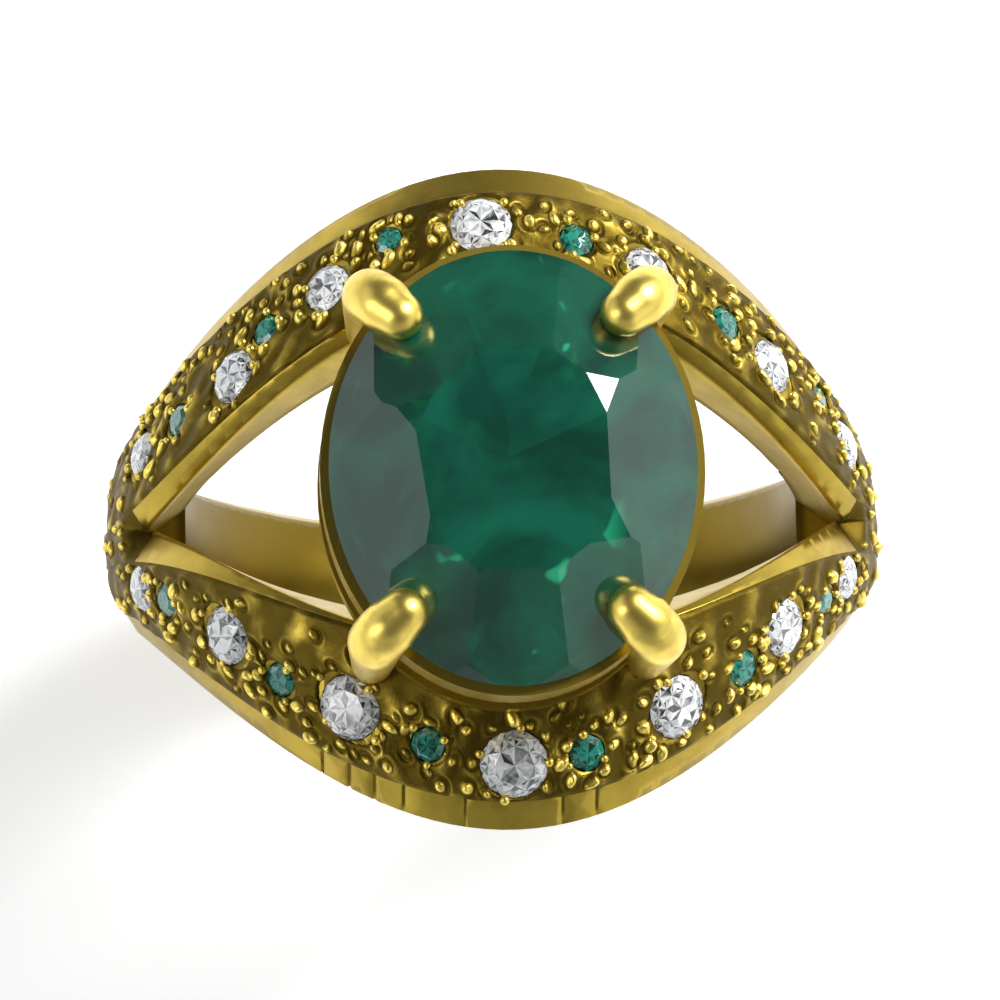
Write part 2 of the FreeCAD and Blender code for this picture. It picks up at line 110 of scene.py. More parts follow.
def bell(angle, apex, end, reach, sharpness=2.0):
    """A bell curve from apex at angle 0 to end at angle reach."""
    inside = np.clip(np.abs(angle) / reach, 0.0, 1.0)
    return end + (apex - end) * np.cos(np.radians(90 * inside)) ** sharpness


def ridge_and_rim(arm, angle):
    """Distance along the finger and radius of the set surface's two borders."""
    inner = bell(angle, *arm["inner"], INNER_REACH, INNER_SHARPNESS)
    outer = bell(angle, OUTER_APEX, arm["outer"][0], SETTLE_ANGLE, arm["outer"][1])
    lean = np.radians(bell(angle, LEAN, SHOULDER_LEAN, SHOULDER_ANGLE))
    half_drop = (outer - inner) * np.tan(lean) / 2
    towards_shoulder = (1 - bell(angle, 1.0, 0.0, SHOULDER_ANGLE)) ** 2
    bevel = arm["bevel"][0] + (arm["bevel"][1] - arm["bevel"][0]) * towards_shoulder
    middle = SHOULDER_RADIUS + (APEX_RADIUS - SHOULDER_RADIUS) * np.cos(np.radians(angle)) ** 2
    return (inner + bevel, middle + half_drop), (outer - OUTER_RIM, middle - half_drop)


def set_surface(arm, angle, aside):
    """Points of an arm's set surface, aside of its middle line."""
    angle, aside = np.asarray(angle, float), np.asarray(aside, float)
    ridge, rim = ridge_and_rim(arm, angle)
    share = 0.5 + aside / (rim[0] - ridge[0])
    along = ridge[0] + (rim[0] - ridge[0]) * share
    radius = ridge[1] + (rim[1] - ridge[1]) * share + 4 * CROWN * share * (1 - share)
    turn = np.radians(angle)
    return np.stack([radius * np.sin(turn), arm["side"] * along, radius * np.cos(turn)], axis=-1)


def set_normal(arm, angle, aside):
    round_step = set_surface(arm, angle + 0.5, aside) - set_surface(arm, angle - 0.5, aside)
    side_step = set_surface(arm, angle, aside + 0.05) - set_surface(arm, angle, aside - 0.05)
    normal = np.cross(round_step, side_step) * arm["side"]
    return normal / np.linalg.norm(normal, axis=-1, keepdims=True)


def width_at(arm, angle):
    ridge, rim = ridge_and_rim(arm, angle)
    return rim[0] - ridge[0]


# ---------------------------------------------------------------- node helpers
class Nodes:
    """A small helper that adds linked shader nodes to one tree."""

    def __init__(self, tree):
        self.tree = tree
        tree.nodes.clear()

    def add(self, kind, inputs=None, **settings):
        node = self.tree.nodes.new(kind)
        for key, value in settings.items():
            setattr(node, key, value)
        for key, value in (inputs or {}).items():
            self.put(node.inputs[key], value)
        return node

    def put(self, socket, value):
        if isinstance(value, bpy.types.NodeSocket):
            self.tree.links.new(value, socket)
        elif isinstance(value, (tuple, list)) and len(value) == 3 and socket.type == "RGBA":
            socket.default_value = (*value, 1.0)
        else:
            socket.default_value = value

    def math(self, operation, a, b=0.0, c=0.0, clamp=False):
        node = self.add("ShaderNodeMath", {0: a, 1: b, 2: c}, operation=operation, use_clamp=clamp)
        return node.outputs[0]

    def fade(self, value, low, high, to_low=0.0, to_high=1.0):
        node = self.add(
            "ShaderNodeMapRange",
            {"Value": value, "From Min": low, "From Max": high, "To Min": to_low, "To Max": to_high},
            interpolation_type="SMOOTHSTEP",
        )
        return node.outputs["Result"]

    def mix(self, share, a, b):
        node = self.add("ShaderNodeMix", data_type="RGBA")
        self.put(node.inputs[0], share)
        self.put(node.inputs[6], a)
        self.put(node.inputs[7], b)
        return node.outputs[2]

    def noise(self, where, scale, detail=3.0, roughness=0.5, distortion=0.0):
        node = self.add(
            "ShaderNodeTexNoise",
            {
                "Vector": where, "Scale": scale, "Detail": detail,
                "Roughness": roughness, "Distortion": distortion,
            },
        )
        return node.outputs["Fac"]


def material(name):
    made = bpy.data.materials.new(name)
    made.use_nodes = True
    return made, Nodes(made.node_tree)


def finish_material(nodes, shader):
    out = nodes.add("ShaderNodeOutputMaterial")
    nodes.put(out.inputs["Surface"], shader)


# ---------------------------------------------------------------- finishes
GOLD_POLISHED = (0.96, 0.74, 0.16)
GOLD_BRIGHT = (0.50, 0.36, 0.055)
GOLD_DEEP = (0.28, 0.185, 0.025)  # worn clouds in the bright gold
GOLD_INSIDE_SHADE = (0.19, 0.127, 0.014)  # painted shade on the faces against the finger, inside the finger hole
GOLD_GROUND_PATINA_AND_SHADE = (0.11, 0.074, 0.009)  # low parts of the carved ground and bottoms of the rim's file cuts: partly patina, partly painted shade
INSIDE_SHADE_FADE = (0.1, 0.4)  # outside the finger hole, where that painted shade ends

STONE_GREEN, CLOUD_GREEN, FLECK_GREEN = (0.001, 0.075, 0.044), (0.006, 0.22, 0.125), (0.03, 0.75, 0.36)
FLECKS_WITHIN = (1.8, 3.0)  # distance from the stone's long axis over which the flecks die out
# the small stones' colours: the dark and light ends of their painted reflections
EMERALD_DARK, EMERALD_LIGHT = (0.002, 0.045, 0.03), (0.03, 0.42, 0.31)
DIAMOND_DARK, DIAMOND_LIGHT = (0.03, 0.032, 0.034), (0.9, 0.92, 0.95)
EMERALD_INDEX = 1.577
SHARD_INDEX = 1.8  # below a diamond's 2.417, so that each shard keeps its own painted reflection shade

RIM_NOTCHES = (-4.9, -4.2, -3.55, -2.8, -1.2, 1.35, 2.25)  # places across the finger, in millimetres
NOTCH_HALF_WIDTH, NOTCH_DEPTH = 0.06, 0.06
NOTCHES_OUTSIDE = 6.5  # how far out along the finger they begin
NOTCHES_ABOVE = 9.5  # and how far from the finger's axis
NOTCH_PAINTED_SHADE = 0.8  # how dark the painted shade in their bottoms is


def axis_distance(n, parts):
    """Distance from the finger's axis."""
    squares = [n.math("MULTIPLY", parts.outputs[axis], parts.outputs[axis]) for axis in ("X", "Z")]
    return n.math("SQRT", n.math("ADD", *squares))


def notch_shade_mask(n, parts):
    """1 in the short file cuts across the front arm's outer rim, where their bottoms get painted shade."""
    notch_shade = 0.0
    for place in RIM_NOTCHES:
        away = n.math("ABSOLUTE", n.math("SUBTRACT", parts.outputs["X"], place * MM))
        mark = n.fade(away, 0.5 * NOTCH_HALF_WIDTH * MM, NOTCH_HALF_WIDTH * MM, 1.0, 0.0)
        notch_shade = n.math("MAXIMUM", notch_shade, mark)
    outside = n.fade(parts.outputs["Y"], -NOTCHES_OUTSIDE * MM, -(NOTCHES_OUTSIDE + 0.1) * MM)
    high = n.fade(axis_distance(n, parts), NOTCHES_ABOVE * MM, (NOTCHES_ABOVE + 0.15) * MM)
    return n.math("MULTIPLY", n.math("MULTIPLY", notch_shade, outside), high)


def gold(name, bright, roughness, grain, scratch, notched=False):
    """Yellow gold: grain and scratch are the heights of its satin texture and polishing lines. Its faces
    inside the finger hole are darkened as painted shade, and when notched, the bottoms of the rim's file
    cuts get painted shade too.
    """
    made, n = material(name)
    where = n.add("ShaderNodeTexCoord").outputs["Object"]
    fine = n.noise(where, 14000, 3, 0.6)
    cloud = n.noise(where, 900, 3, 0.6, 0.4)
    stretched = n.add("ShaderNodeMapping", {"Vector": where, "Scale": (1.0, 9.0, 1.0)}).outputs[0]
    lines = n.noise(stretched, 2600, 4, 0.65)
    colour = n.mix(n.fade(cloud, 0.35, 0.75, 0.0, 0.5), bright, GOLD_DEEP)
    rough = n.math("ADD", roughness, n.math("MULTIPLY", n.math("SUBTRACT", cloud, 0.5), roughness * 0.5))
    height = n.math("ADD", n.math("MULTIPLY", fine, grain), n.math("MULTIPLY", lines, scratch))
    parts = n.add("ShaderNodeSeparateXYZ", {0: where})
    # painted shade: the gold inside the finger hole is darkened towards GOLD_INSIDE_SHADE
    shade_from, shade_to = ((FINGER_RADIUS + ease) * MM for ease in INSIDE_SHADE_FADE)
    inside = n.fade(axis_distance(n, parts), shade_from, shade_to, 1.0, 0.0)
    colour = n.mix(inside, colour, GOLD_INSIDE_SHADE)
    if notched:
        # painted shade in the bottoms of the rim's file cuts
        notch_shade = notch_shade_mask(n, parts)
        colour = n.mix(n.math("MULTIPLY", notch_shade, NOTCH_PAINTED_SHADE), colour, GOLD_GROUND_PATINA_AND_SHADE)
    bump = n.add("ShaderNodeBump", {"Strength": 1.0, "Distance": MM, "Height": height}).outputs[0]
    shader = n.add(
        "ShaderNodeBsdfPrincipled",
        {"Base Color": colour, "Metallic": 1.0, "Roughness": rough, "Normal": bump},
    )
    finish_material(n, shader.outputs[0])
    return made


def carved_gold(name):
    """The set surface: beads over a dark ground, told apart by the relief attribute. The low ground is
    painted dark, partly patina and partly painted shade; the bead tops are painted bright, partly polish and
    partly painted highlight.
    """
    made, n = material(name)
    where = n.add("ShaderNodeTexCoord").outputs["Object"]
    relief = n.add("ShaderNodeAttribute", attribute_name="relief").outputs["Fac"]
    fine = n.noise(where, 11000, 4, 0.6)
    cloud = n.noise(where, 1300, 3, 0.6)
    uneven = n.math("MULTIPLY", n.math("SUBTRACT", cloud, 0.5), 0.5)
    # painted shade in the low ground, partly patina; painted highlight on the bead tops, partly polish
    high = n.fade(n.math("ADD", relief, uneven), 0.35, 0.8)
    colour = n.mix(high, GOLD_GROUND_PATINA_AND_SHADE, GOLD_BRIGHT)
    colour = n.mix(n.fade(relief, 0.55, 0.95), colour, GOLD_POLISHED)
    rough = n.fade(high, 0.0, 1.0, 0.5, 0.34)
    height = n.math("MULTIPLY", fine, 0.012)
    bump = n.add("ShaderNodeBump", {"Strength": 1.0, "Distance": MM, "Height": height}).outputs[0]
    shader = n.add(
        "ShaderNodeBsdfPrincipled",
        {"Base Color": colour, "Metallic": 1.0, "Roughness": rough, "Normal": bump},
    )
    finish_material(n, shader.outputs[0])
    return made


def murky_gem(name):
    """The centre stone: deep green, half clear, with soft clouds and bright flecks under a sharp polish."""
    made, n = material(name)
    where = n.add("ShaderNodeTexCoord").outputs["Object"]
    cloud = n.noise(where, 330, 4, 0.55, 0.5)
    colour = n.mix(n.fade(cloud, 0.35, 0.7), STONE_GREEN, CLOUD_GREEN)
    aside = n.math("ABSOLUTE", n.add("ShaderNodeSeparateXYZ", {0: where}).outputs["X"])
    middle = n.fade(aside, FLECKS_WITHIN[0] * MM, FLECKS_WITHIN[1] * MM, 1.0, 0.0)
    fleck = n.math("MULTIPLY", middle, n.fade(n.noise(where, 620, 2, 0.5, 0.3), 0.65, 0.7))
    colour = n.mix(fleck, colour, FLECK_GREEN)
    shader = n.add(
        "ShaderNodeBsdfPrincipled",
        {
            "Base Color": colour, "Roughness": n.fade(cloud, 0.3, 0.7, 0.02, 0.1),
            "Transmission Weight": 0.55, "IOR": EMERALD_INDEX, "Coat Weight": 1.0, "Coat Roughness": 0.02,
        },
    )
    finish_material(n, shader.outputs[0])
    return made


def sparkling_gem(name, dark, light, index, clear):
    """A small stone: its reflections are painted, every shard with its own shade between the two colours."""
    made, n = material(name)
    where = n.add("ShaderNodeTexCoord").outputs["Object"]
    painted_sparkle = n.add("ShaderNodeAttribute", attribute_name="painted_sparkle").outputs["Fac"]
    fine = n.math("MULTIPLY", n.math("SUBTRACT", n.noise(where, 5200, 2, 0.5, 0.5), 0.5), 1.1)
    colour = n.mix(n.math("ADD", painted_sparkle, fine, clamp=True), dark, light)
    shader = n.add(
        "ShaderNodeBsdfPrincipled",
        {
            "Base Color": colour, "Roughness": 0.08, "Transmission Weight": clear, "IOR": index,
            "Coat Weight": 1.0, "Coat Roughness": 0.02,
        },
    )
    finish_material(n, shader.outputs[0])
    return made


POLISHED = gold("polished_gold", GOLD_POLISHED, roughness=0.36, grain=0.0006, scratch=0.0006)
SATIN = gold("satin_gold", GOLD_BRIGHT, roughness=0.36, grain=0.0016, scratch=0.001)
NOTCHED = gold("notched_satin_gold", GOLD_BRIGHT, roughness=0.36, grain=0.0016, scratch=0.001, notched=True)
CARVED = carved_gold("bead_set_gold")
EMERALD = murky_gem("centre_emerald_green")
SMALL_EMERALD = sparkling_gem("small_emerald_green", EMERALD_DARK, EMERALD_LIGHT, EMERALD_INDEX, clear=0.3)
DIAMOND = sparkling_gem("diamond_clear", DIAMOND_DARK, DIAMOND_LIGHT, SHARD_INDEX, clear=0.02)


# ---------------------------------------------------------------- pieces
def new_object(name, mesh, made_of, slot, *nodes):
    piece = bpy.data.objects.new(name, mesh)
    bpy.context.scene.collection.objects.link(piece)
    mesh.materials.clear()
    mesh.materials.append(made_of)
    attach(piece, "root")
    if nodes:
        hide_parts(*nodes)
    return piece


def cut_notches(shape):
    """File cuts across the outer rim: narrow strips of it with their middle line pushed in."""
    for place in RIM_NOTCHES:
        for step in (-1, 0, 1):
            bmesh.ops.bisect_plane(
                shape, geom=shape.verts[:] + shape.edges[:] + shape.faces[:], dist=0.0001 * MM,
                plane_co=((place + step * NOTCH_HALF_WIDTH) * MM, 0, 0), plane_no=(1, 0, 0),
            )
        shape.normal_update()
        for vert in shape.verts:
            x, y, z = vert.co / MM
            on_line = abs(x - place) < 0.001
            if on_line and y < -NOTCHES_OUTSIDE and math.hypot(x, z) > NOTCHES_ABOVE:
                vert.co -= vert.normal * NOTCH_DEPTH * MM


def smooth_copy(node, made_of, angle, notched=False):
    """The node's own shape with its triangles joined, smooth but for edges sharper than the angle."""
    shape = bmesh.new()
    shape.from_mesh(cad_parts[node].data)
    bmesh.ops.remove_doubles(shape, verts=shape.verts, dist=0.0005 * MM)
    bmesh.ops.dissolve_degenerate(shape, edges=shape.edges, dist=0.0002 * MM)
    if notched:
        cut_notches(shape)
    for face in shape.faces:
        face.smooth = True
    mesh = bpy.data.meshes.new("look_" + node)
    shape.to_mesh(mesh)
    shape.free()
    mesh.set_sharp_from_angle(angle=math.radians(angle))
    return new_object("look_" + node, mesh, made_of, "gold", node)


for node in ("shank", "back_arm", "seat_rail", "base_rail"):
    smooth_copy(node, SATIN, 28)
smooth_copy("front_arm", NOTCHED, 28, notched=True)
for node in ("prong_back_left", "prong_back_right", "prong_front_left", "prong_front_right"):
    smooth_copy(node, POLISHED, 40)


# ---------------------------------------------------------------- the stones
STONE_HALF_WIDTH, STONE_HALF_LENGTH = 4.7, 5.6
STONE_GIRDLE, STONE_CROWN, STONE_PAVILION = 0.26, 1.35, 4.45
STONE_TABLE_SHARE = 0.5


def grind(shape, point, normal):
    """One flat facet: what lies outside the plane goes, and the cut is closed."""
    everything = shape.verts[:] + shape.edges[:] + shape.faces[:]
    cut = bmesh.ops.bisect_plane(
        shape, geom=everything, dist=1e-8, plane_co=point, plane_no=normal, clear_outer=True,
    )
    edges = [item for item in cut["geom_cut"] if isinstance(item, bmesh.types.BMEdge)]
    if edges:
        bmesh.ops.holes_fill(shape, edges=edges)


def facet(shape, degrees, slope, share, level, up):
    """A facet facing out at a place on the oval: it crosses the level at that share of the way out."""
    t = math.radians(degrees)
    out = Vector((math.cos(t) / STONE_HALF_WIDTH, math.sin(t) / STONE_HALF_LENGTH, 0)).normalized()
    edge = Vector((STONE_HALF_WIDTH * math.cos(t), STONE_HALF_LENGTH * math.sin(t), 0)) * share
    lean = math.radians(slope)
    normal = out * math.sin(lean) + Vector((0, 0, up * math.cos(lean)))
    grind(shape, (edge + Vector((0, 0, level))) * MM, normal)


def centre_stone():
    """The centre stone with the round outline of its girdle, cut one facet at a time."""
    low, high = (Vector(corner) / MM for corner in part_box("centre_emerald"))
    girdle = high.z - STONE_CROWN - STONE_GIRDLE / 2
    shape = bmesh.new()
    tall = Matrix.Translation((0, 0, (girdle - 1.5) * MM))
    wide = Matrix.Diagonal((STONE_HALF_WIDTH, STONE_HALF_LENGTH, 1, 1))
    bmesh.ops.create_cone(
        shape, cap_ends=True, segments=96, radius1=MM, radius2=MM, depth=12 * MM, matrix=tall @ wide,
    )
    grind(shape, Vector((0, 0, high.z)) * MM, Vector((0, 0, 1)))
    upper, lower = girdle + STONE_GIRDLE / 2, girdle - STONE_GIRDLE / 2
    side_slope = math.degrees(math.atan(STONE_CROWN / ((1 - STONE_TABLE_SHARE) * STONE_HALF_WIDTH)))
    end_slope = math.degrees(math.atan(STONE_CROWN / ((1 - STONE_TABLE_SHARE) * STONE_HALF_LENGTH)))
    for degrees, slope in (
        (2, side_slope), (58, end_slope + 3), (90, end_slope), (128, side_slope - 2),
        (190, side_slope), (238, end_slope + 3), (270, end_slope), (302, end_slope + 3),
    ):
        facet(shape, degrees, slope, 1.0, upper, 1)
    for k in range(16):
        facet(shape, 11.25 + 22.5 * k, side_slope + 9, 1.0, upper, 1)
    for degrees in (30, 74, 106, 150, 210, 254, 286, 330):
        facet(shape, degrees, 17, STONE_TABLE_SHARE * 1.06, high.z, 1)
    pavilion_slope = math.degrees(math.atan(STONE_PAVILION / STONE_HALF_LENGTH))
    for k in range(8):
        facet(shape, 45 * k, pavilion_slope + 3, 1.0, lower, -1)
    for k in range(16):
        facet(shape, 11.25 + 22.5 * k, pavilion_slope + 9, 1.0, lower, -1)
    bmesh.ops.remove_doubles(shape, verts=shape.verts, dist=0.001 * MM)
    bmesh.ops.recalc_face_normals(shape, faces=shape.faces)
    mesh = bpy.data.meshes.new("look_centre_emerald")
    shape.to_mesh(mesh)
    shape.free()
    return new_object("look_centre_emerald", mesh, EMERALD, "emerald", "centre_emerald")


centre_stone()

# painted reflections: the shades given at random to the small stones' shards
SHARD_SHADES = (0.0, 0.25, 0.55, 0.85, 1.0)
SHARD_SHARES = (0.16, 0.16, 0.22, 0.26, 0.2)  # how many of the shards have each shade


def small_stone(node, made_of, slot, rng):
    """A small stone's own shape with its upper facets split into shards, each given its own painted
    reflection shade.
    """
    shape = bmesh.new()
    shape.from_mesh(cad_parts[node].data)
    bmesh.ops.remove_doubles(shape, verts=shape.verts, dist=0.0002 * MM)
    bmesh.ops.dissolve_limit(shape, angle_limit=math.radians(1), verts=shape.verts, edges=shape.edges)
    table = max(shape.faces, key=lambda face: face.calc_area())
    up = table.normal.copy()
    crown = [face for face in shape.faces if face.normal.dot(up) > 0.5 and face is not table]
    split = bmesh.ops.poke(shape, faces=[table])["faces"]
    bmesh.ops.poke(shape, faces=split)
    split = bmesh.ops.poke(shape, faces=crown)["faces"]
    bmesh.ops.poke(shape, faces=split)
    mesh = bpy.data.meshes.new("look_" + node)
    shape.to_mesh(mesh)
    shape.free()
    shades = rng.choice(SHARD_SHADES, size=len(mesh.polygons), p=SHARD_SHARES)
    store = mesh.attributes.new("painted_sparkle", "FLOAT", "FACE")
    store.data.foreach_set("value", shades)
    return new_object("look_" + node, mesh, made_of, slot, node)


shard_rng = np.random.default_rng(5)
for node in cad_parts:
    if "_emerald_" in node:
        small_stone(node, SMALL_EMERALD, "small_emerald", shard_rng)
    elif "_diamond_" in node:
        small_stone(node, DIAMOND, "diamond", shard_rng)


# ---------------------------------------------------------------- the carved ground of the arms
CARVED_THICKNESS = 0.075
CARVED_WAVES, WAVE_HEIGHT = 16, 0.006
BEAD_RISE = 0.95  # height of a bead as a share of its radius
CUT_REACH = 2.1  # how far out the cut round a bead goes, in bead radii
CUT_DEPTH, LIP_HEIGHT, LIP_WIDTH = 0.055, 0.03, 0.07
GUARD_SPACING, FIELD_SPACING = 0.3, 0.34  # between the beads beside the stones, and between the others
BORDER_CLEAR = 0.16  # bare strip along both borders
FIELD_TRIES = 900
SHOULDER_BEADS = 9
FULL_RELIEF = 0.2  # height at which the gold is painted at its brightest, partly polish and partly painted highlight


def flat_place(angle):
    return np.radians(angle) * SET_RADIUS


def stones_flat(arm):
    """Every small stone of an arm on its set surface laid out flat: centre round, centre aside, radius."""
    return [(flat_place(a), aside, d / 2) for a, aside, d in arm["diamonds"] + arm["emeralds"]]


def bead_places(arm, rng):
    """Beads left standing beside every stone and where there is room. Each is (round, aside, radius)."""
    stones = stones_flat(arm)
    beads = []

    def try_place(u, v, radius, apart):
        half = width_at(arm, math.degrees(u / SET_RADIUS)) / 2
        clear = all(math.hypot(u - x, v - y) > r + 0.6 * radius for x, y, r in stones)
        roomy = all(math.hypot(u - x, v - y) > apart for x, y, _ in beads)
        if clear and roomy and abs(v) < half - BORDER_CLEAR:
            beads.append((u, v, radius))

    for x, y, r in stones:
        count = 7 if r > 0.55 else 5
        first = rng.uniform(0, 2 * math.pi)
        for k in range(count):
            t = first + 2 * math.pi * (k + rng.uniform(-0.25, 0.25)) / count
            away = r + rng.uniform(0.13, 0.24)
            radius = rng.uniform(0.1, 0.17)
            try_place(x + away * math.cos(t), y + away * math.sin(t), radius, GUARD_SPACING)
    for _ in range(FIELD_TRIES):
        u = rng.uniform(-1, 1) * flat_place(CARVED_TO - 2)
        v = rng.uniform(-1.4, 1.9)
        if rng.uniform() < 0.5 + 0.35 * v:
            try_place(u, v, rng.uniform(0.08, 0.17), FIELD_SPACING)
    return beads


def shoulder_beads(u, v, rng):
    spots = [
        (rng.uniform(u.min(), u.max()), rng.uniform(v.min(), v.max()))
        for _ in range(SHOULDER_BEADS)
    ]
    return [(x, y, rng.uniform(0.09, 0.15)) for x, y in spots]


def carved_height(arm, u, v, rng):
    """Height of the carved ground over the set surface, in millimetres."""
    height = np.full(u.shape, CARVED_THICKNESS)
    for _ in range(CARVED_WAVES):
        turn, phase = rng.uniform(0, math.pi), rng.uniform(0, 2 * math.pi)
        pitch = rng.uniform(0.5, 1.6)
        wave = (u * math.cos(turn) + v * math.sin(turn)) * 2 * math.pi / pitch + phase
        height += WAVE_HEIGHT * np.sin(wave)
    beads = bead_places(arm, rng) if arm else shoulder_beads(u, v, rng)
    for x, y, radius in beads:
        near = np.nonzero(np.abs(u - x) < 0.6)[0]
        du, dv = u[near] - x, v[near] - y
        turn = rng.uniform(0, math.pi)
        long = du * math.cos(turn) + dv * math.sin(turn)
        wide = dv * math.cos(turn) - du * math.sin(turn)
        stretch = rng.uniform(1.0, 1.7)
        away = np.hypot(du, dv)
        cut = radius * CUT_REACH
        side = 0.5 + 0.5 * np.cos(np.arctan2(dv, du) - rng.uniform(0, 2 * math.pi))
        pit = np.clip(1 - (away / cut) ** 2, 0, None)
        lip = np.exp(-(((away - cut) / LIP_WIDTH) ** 2)) * side
        bead = np.sqrt(np.clip(1 - (long / (radius * stretch)) ** 2 - (wide / radius) ** 2, 0, None))
        height[near] += -CUT_DEPTH * pit * side + LIP_HEIGHT * lip * side + radius * BEAD_RISE * bead
    return np.clip(height, 0.008, None)


def carved_sheet(name, arm, seed):
    """The carved ground of one arm: a fine sheet over its set surface with a hole round every stone."""
    rng = np.random.default_rng(seed)
    shape = bmesh.new()
    bmesh.ops.create_grid(shape, x_segments=980, y_segments=84, size=1.0)
    mesh = bpy.data.meshes.new(name)
    shape.to_mesh(mesh)
    shape.free()
    flat = np.empty(len(mesh.vertices) * 3)
    mesh.vertices.foreach_get("co", flat)
    flat = flat.reshape(-1, 3)
    angle = flat[:, 0] * CARVED_TO
    aside = flat[:, 1] * width_at(arm, angle) / 2
    u = flat_place(angle)
    height = carved_height(arm, u, aside, rng)
    gap = np.min([np.hypot(u - x, aside - y) - r for x, y, r in stones_flat(arm)], axis=0)
    beside_stone = np.clip((gap + 0.03) / 0.1, 0, 1)
    border = np.clip(np.minimum((1 - np.abs(flat[:, 1])) / 0.06, (1 - np.abs(flat[:, 0])) / 0.01), 0, 1)
    lift = 0.006 + height * beside_stone * border
    place = set_surface(arm, angle, aside) + set_normal(arm, angle, aside) * lift[:, None]
    mesh.vertices.foreach_set("co", (place * MM).ravel())
    store = mesh.attributes.new("relief", "FLOAT", "POINT")
    store.data.foreach_set("value", np.clip(height / FULL_RELIEF, 0, 1) * beside_stone)
    shape = bmesh.new()
    shape.from_mesh(mesh)
    shape.verts.ensure_lookup_table()
    inside = [shape.verts[i] for i in np.nonzero(gap < -0.01)[0]]
    bmesh.ops.delete(shape, geom=inside, context="VERTS")
    bmesh.ops.recalc_face_normals(shape, faces=shape.faces)
    for face in shape.faces:
        face.smooth = True
    shape.to_mesh(mesh)
    shape.free()
    return new_object(name, mesh, CARVED, "gold")


def shoulder_sheet(name, side, seed):
    """The carved ground between the two arms, outside the window's pointed end."""
    rng = np.random.default_rng(seed)
    shape = bmesh.new()
    bmesh.ops.create_grid(shape, x_segments=90, y_segments=70, size=1.0)
    mesh = bpy.data.meshes.new(name)
    shape.to_mesh(mesh)
    flat = np.array([v.co[:] for v in shape.verts])
    shape.free()
    angle = WINDOW_END + (CARVED_TO + 0.8 - WINDOW_END) * (flat[:, 0] + 1) / 2
    back_ridge, _ = ridge_and_rim(BACK, angle)
    front_ridge, _ = ridge_and_rim(FRONT, angle)
    share = (flat[:, 1] + 1) / 2
    overlap = 0.12
    along = -(front_ridge[0] + overlap) + share * (back_ridge[0] + front_ridge[0] + 2 * overlap)
    bridge = front_ridge[1] + (back_ridge[1] - front_ridge[1]) * share
    over_back = back_ridge[1] - BEVEL_SLOPE * np.clip(back_ridge[0] - along, 0, None)
    over_front = front_ridge[1] - BEVEL_SLOPE * np.clip(front_ridge[0] + along, 0, None)
    groove = np.where(along > 0, over_back, over_front)
    filled = np.clip((angle - WINDOW_END) / 3.0, 0, 1)
    filled = filled * filled * (3 - 2 * filled)
    height = carved_height(None, flat_place(angle), along, rng)
    border = np.clip((1 - np.abs(flat[:, 1])) / 0.15, 0, 1) * np.clip((1 - flat[:, 0]) / 0.05, 0, 1) * filled
    radius = groove + (bridge - groove) * filled + 0.01 + height * border
    turn = np.radians(angle)
    place = np.stack([side * radius * np.sin(turn), along, radius * np.cos(turn)], axis=-1)
    mesh.vertices.foreach_set("co", (place * MM).ravel())
    store = mesh.attributes.new("relief", "FLOAT", "POINT")
    store.data.foreach_set("value", np.clip(height / FULL_RELIEF, 0, 1) * border)
    shape = bmesh.new()
    shape.from_mesh(mesh)
    if side > 0:
        bmesh.ops.reverse_faces(shape, faces=shape.faces)
    for face in shape.faces:
        face.smooth = True
    shape.to_mesh(mesh)
    shape.free()
    return new_object(name, mesh, CARVED, "gold")


GRIPS_PER_DIAMOND, GRIPS_PER_EMERALD = (4, 0.13), (3, 0.12)  # how many, and their radius
GRIP_RISE = 0.05  # their middles over the set surface


def grip_beads(name, arm, seed):
    """The beads pushed over each small stone's edge."""
    shape = bmesh.new()
    rng = np.random.default_rng(seed)
    kinds = ((*GRIPS_PER_DIAMOND, arm["diamonds"]), (*GRIPS_PER_EMERALD, arm["emeralds"]))
    for count, size, stones in kinds:
        for angle, aside, diameter in stones:
            first = rng.uniform(0, 2 * math.pi)
            for k in range(count):
                t = first + 2 * math.pi * (k + rng.uniform(-0.12, 0.12)) / count
                away = diameter / 2 + 0.04
                at_angle = angle + math.degrees(away * math.cos(t) / SET_RADIUS)
                at_aside = aside + away * math.sin(t)
                radius = size * rng.uniform(0.85, 1.2)
                at = set_surface(arm, at_angle, at_aside) + GRIP_RISE * set_normal(arm, at_angle, at_aside)
                where = Matrix.Translation(Vector(at) * MM)
                bmesh.ops.create_icosphere(shape, subdivisions=2, radius=radius * MM, matrix=where)
    for face in shape.faces:
        face.smooth = True
    mesh = bpy.data.meshes.new(name)
    shape.to_mesh(mesh)
    shape.free()
    return new_object(name, mesh, POLISHED, "gold")


carved_sheet("back_carving", BACK, 11)
carved_sheet("front_carving", FRONT, 12)
shoulder_sheet("left_shoulder_carving", -1, 31)
shoulder_sheet("right_shoulder_carving", 1, 32)
grip_beads("back_grips", BACK, 21)
grip_beads("front_grips", FRONT, 22)

# ---------------------------------------------------------------- studio
FLOOR_Z = CAD_BOUNDS[0][2]
FLOOR_HALF_WIDTH = 0.6
FLOOR_COLOUR = (0.9, 0.9, 0.9)
FLOOR_GLOW = 0.42  # what the floor shows the camera and the polished pieces over its lit shade
LEFT_LIGHT, RIGHT_LIGHT, FRONT_LIGHT, END_LIGHT = 0.65, 0.95, 0.34, 0.04
OVERHEAD_LIGHT = 0.08


def towards_shown_rays(n):
    """1 for rays that show the background, to the camera or through polish and glass."""
    path = n.add("ShaderNodeLightPath")
    glossy = n.math("MAXIMUM", path.outputs["Is Camera Ray"], path.outputs["Is Glossy Ray"])
    return n.math("MAXIMUM", glossy, path.outputs["Is Transmission Ray"])


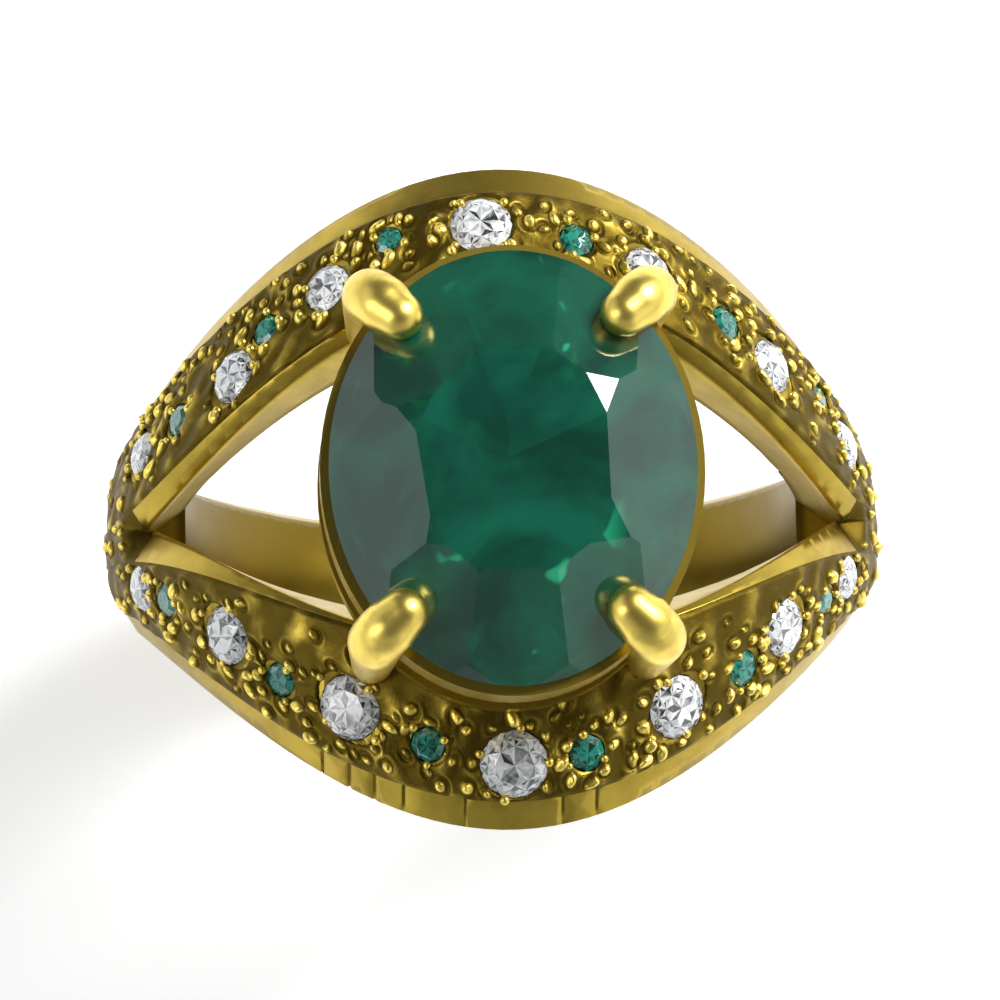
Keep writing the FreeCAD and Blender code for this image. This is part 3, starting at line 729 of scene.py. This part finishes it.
def studio():
    shape = bmesh.new()
    bmesh.ops.create_grid(shape, x_segments=1, y_segments=1, size=FLOOR_HALF_WIDTH)
    bmesh.ops.translate(shape, vec=(0, 0, FLOOR_Z), verts=shape.verts)
    mesh = bpy.data.meshes.new("floor")
    shape.to_mesh(mesh)
    shape.free()
    floor = bpy.data.objects.new("floor", mesh)
    bpy.context.scene.collection.objects.link(floor)
    made, n = material("pale_floor")
    matte = n.add("ShaderNodeBsdfDiffuse", {"Color": FLOOR_COLOUR})
    strength = n.math("MULTIPLY", towards_shown_rays(n), FLOOR_GLOW)
    glow = n.add("ShaderNodeEmission", {"Strength": strength})
    both = n.add("ShaderNodeAddShader", {0: matte.outputs[0], 1: glow.outputs[0]})
    finish_material(n, both.outputs[0])
    mesh.materials.append(made)


def softbox(name, at, size, power):
    """A rectangular lamp, aimed at the middle of the finger hole."""
    lamp = bpy.data.lights.new(name, "AREA")
    lamp.shape = "RECTANGLE"
    lamp.size, lamp.size_y = size
    lamp.energy = power
    thing = bpy.data.objects.new(name, lamp)
    bpy.context.scene.collection.objects.link(thing)
    thing.location = at
    thing.rotation_mode = "QUATERNION"
    thing.rotation_quaternion = (-Vector(at)).to_track_quat("-Z", "Y")
    return thing


def surroundings():
    """A tent, bright at both sides, dim in front, dark behind and overhead, and white to the camera."""
    world = bpy.data.worlds.new("tent")
    bpy.context.scene.world = world
    world.use_nodes = True
    n = Nodes(world.node_tree)
    direction = n.add("ShaderNodeTexCoord").outputs["Generated"]
    parts = n.add("ShaderNodeSeparateXYZ", {0: direction})
    rise = parts.outputs["Z"]
    right = n.fade(parts.outputs["X"], 0.45, 0.75, 0.0, RIGHT_LIGHT)
    left = n.fade(parts.outputs["X"], -0.45, -0.75, 0.0, LEFT_LIGHT)
    band = n.math("MULTIPLY", n.fade(rise, -0.05, 0.12), n.fade(rise, 0.85, 0.5))
    front = n.fade(parts.outputs["Y"], -0.35, -0.7, END_LIGHT, FRONT_LIGHT)
    sides = n.math("ADD", front, n.math("ADD", left, right))
    glow = n.math("ADD", OVERHEAD_LIGHT, n.math("MULTIPLY", band, sides))
    seen = n.add("ShaderNodeLightPath").outputs["Is Camera Ray"]
    shown = n.math("MAXIMUM", glow, seen)
    lit = n.add("ShaderNodeBackground", {"Color": (0.97, 0.99, 1.0), "Strength": shown})
    out = n.add("ShaderNodeOutputWorld")
    n.put(out.inputs["Surface"], lit.outputs[0])


studio()
surroundings()
softbox("key", (0.13, 0.11, 0.17), (0.1, 0.1), 0.62)
softbox("fill", (-0.17, -0.04, 0.16), (0.08, 0.14), 0.12)

# ---------------------------------------------------------------- camera
TILT, SWING, ROLL = math.radians(8.4), math.radians(2.69), math.radians(1.22)
TARGET = Vector((0.0, 0.0, 0.010))
DISTANCE = 0.140
SENSOR_WIDTH, FOCAL_LENGTH = 36.0, 191.7
FRAMING_SHIFT = (-0.0053, -0.006)
back = Vector((-math.sin(SWING), -math.sin(TILT) * math.cos(SWING), math.cos(TILT) * math.cos(SWING)))
level = Vector((0.0, 1.0, 0.0)).cross(back).normalized()
upward = back.cross(level)
right = level * math.cos(ROLL) - upward * math.sin(ROLL)
up = level * math.sin(ROLL) + upward * math.cos(ROLL)
lens = bpy.data.cameras.new("camera")
camera = bpy.data.objects.new("camera", lens)
bpy.context.scene.collection.objects.link(camera)
camera.matrix_world = Matrix((right, up, back)).transposed().to_4x4()
camera.location = TARGET + back * DISTANCE
lens.sensor_width = SENSOR_WIDTH
lens.lens = FOCAL_LENGTH
lens.shift_x, lens.shift_y = FRAMING_SHIFT
lens.clip_start, lens.clip_end = 0.01, 5.0
bpy.context.scene.camera = camera
bpy.context.scene.view_settings.view_transform = "Standard"
